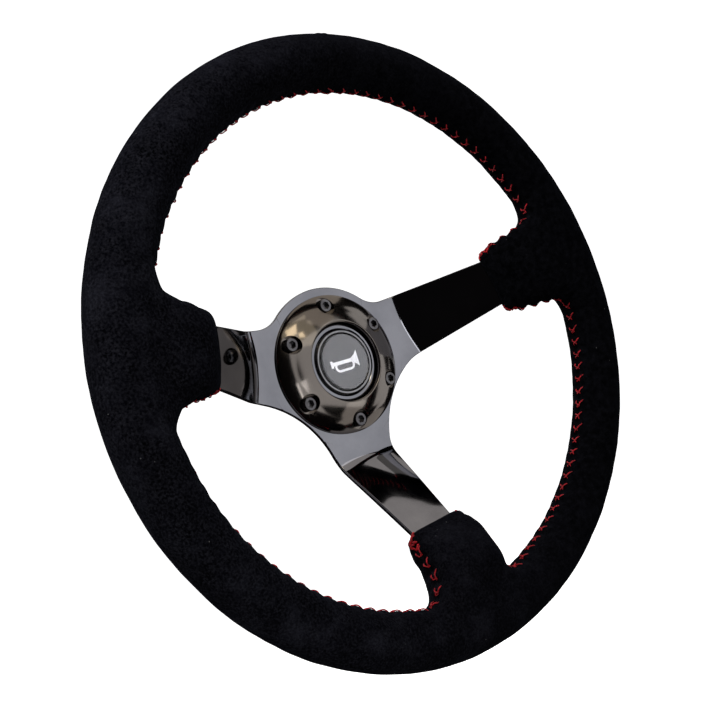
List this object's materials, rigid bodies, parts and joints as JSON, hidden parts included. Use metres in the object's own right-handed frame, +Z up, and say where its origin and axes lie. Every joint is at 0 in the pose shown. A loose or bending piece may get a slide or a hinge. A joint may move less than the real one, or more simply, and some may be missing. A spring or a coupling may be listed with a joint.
{
  "type": "deep-dish steering wheel",
  "caption": "Round deep-dish sports steering wheel with flat bent spokes, suede grip, bolted horn ring and a press-in horn button.",
  "frame": {"origin": "on the steering axis, in the hub plate's back face, where the wheel meets a hub adapter", "axes": "+X to the driver's right, +Z up the wheel, -Y towards the driver; the steering axis runs along Y"},
  "size_m": [0.35, 0.1069, 0.35],
  "materials": {
    "black_chrome": "mirror-polished black chrome on the spoke plate",
    "bronze_chrome": "polished warm black chrome on the horn ring",
    "black_steel": "black oxide, satin",
    "zinc_steel": "bright zinc, satin",
    "suede": "black suede with a short nap",
    "foam": "moulded integral-skin foam, matt",
    "red_thread": "waxed twisted thread",
    "gloss_plastic": "black, polished",
    "satin_plastic": "black, fine moulded texture",
    "phenolic": "brown insulating laminate, satin",
    "bright_trim": "bright polished trim",
    "emblem_grey": "grey, with a plain bugle sign in light grey",
    "clear_resin": "clear domed resin, glossy",
    "brass": "brass, lightly tarnished"
  },
  "bodies": {
    "wheel": {"spoke_plate": "black_chrome", "rim_core_ring": "zinc_steel", "spoke_rivet_1": "zinc_steel", "spoke_rivet_2": "zinc_steel", "spoke_rivet_3": "zinc_steel", "spoke_rivet_4": "zinc_steel", "spoke_rivet_5": "zinc_steel", "spoke_rivet_6": "zinc_steel", "rim_foam": "foam", "suede_cover_left": "suede", "suede_cover_right": "suede", "seam_thread_top": "red_thread", "seam_thread_lower_left": "red_thread", "seam_thread_lower_right": "red_thread", "collar_tie_right_a": "red_thread", "collar_tie_right_b": "red_thread", "collar_tie_left_a": "red_thread", "collar_tie_left_b": "red_thread", "collar_tie_bottom_a": "red_thread", "collar_tie_bottom_b": "red_thread", "horn_ring": "bronze_chrome", "hub_bolt_1": "black_steel", "hub_bolt_2": "black_steel", "hub_bolt_3": "black_steel", "hub_bolt_4": "black_steel", "hub_bolt_5": "black_steel", "hub_bolt_6": "black_steel", "button_housing": "satin_plastic", "button_bezel": "black_chrome", "fixed_contact": "brass", "ground_ring": "brass", "horn_spring": "zinc_steel", "contact_base": "phenolic", "terminal_live": "brass", "terminal_ground": "brass"},
    "horn_button": {"button_cap": "gloss_plastic", "cap_trim_ring": "bright_trim", "emblem_disc": "emblem_grey", "emblem_lens": "clear_resin", "moving_contact": "brass"}
  },
  "joints": [
    {"name": "horn_press", "type": "slide", "parent": "wheel", "child": "horn_button", "axis": [0, 1, 0], "range_m": [0, 0.002], "stiffness_N_per_m": 1500, "springref_m": -0.002, "deforming": ["horn_spring"]}
  ]
}
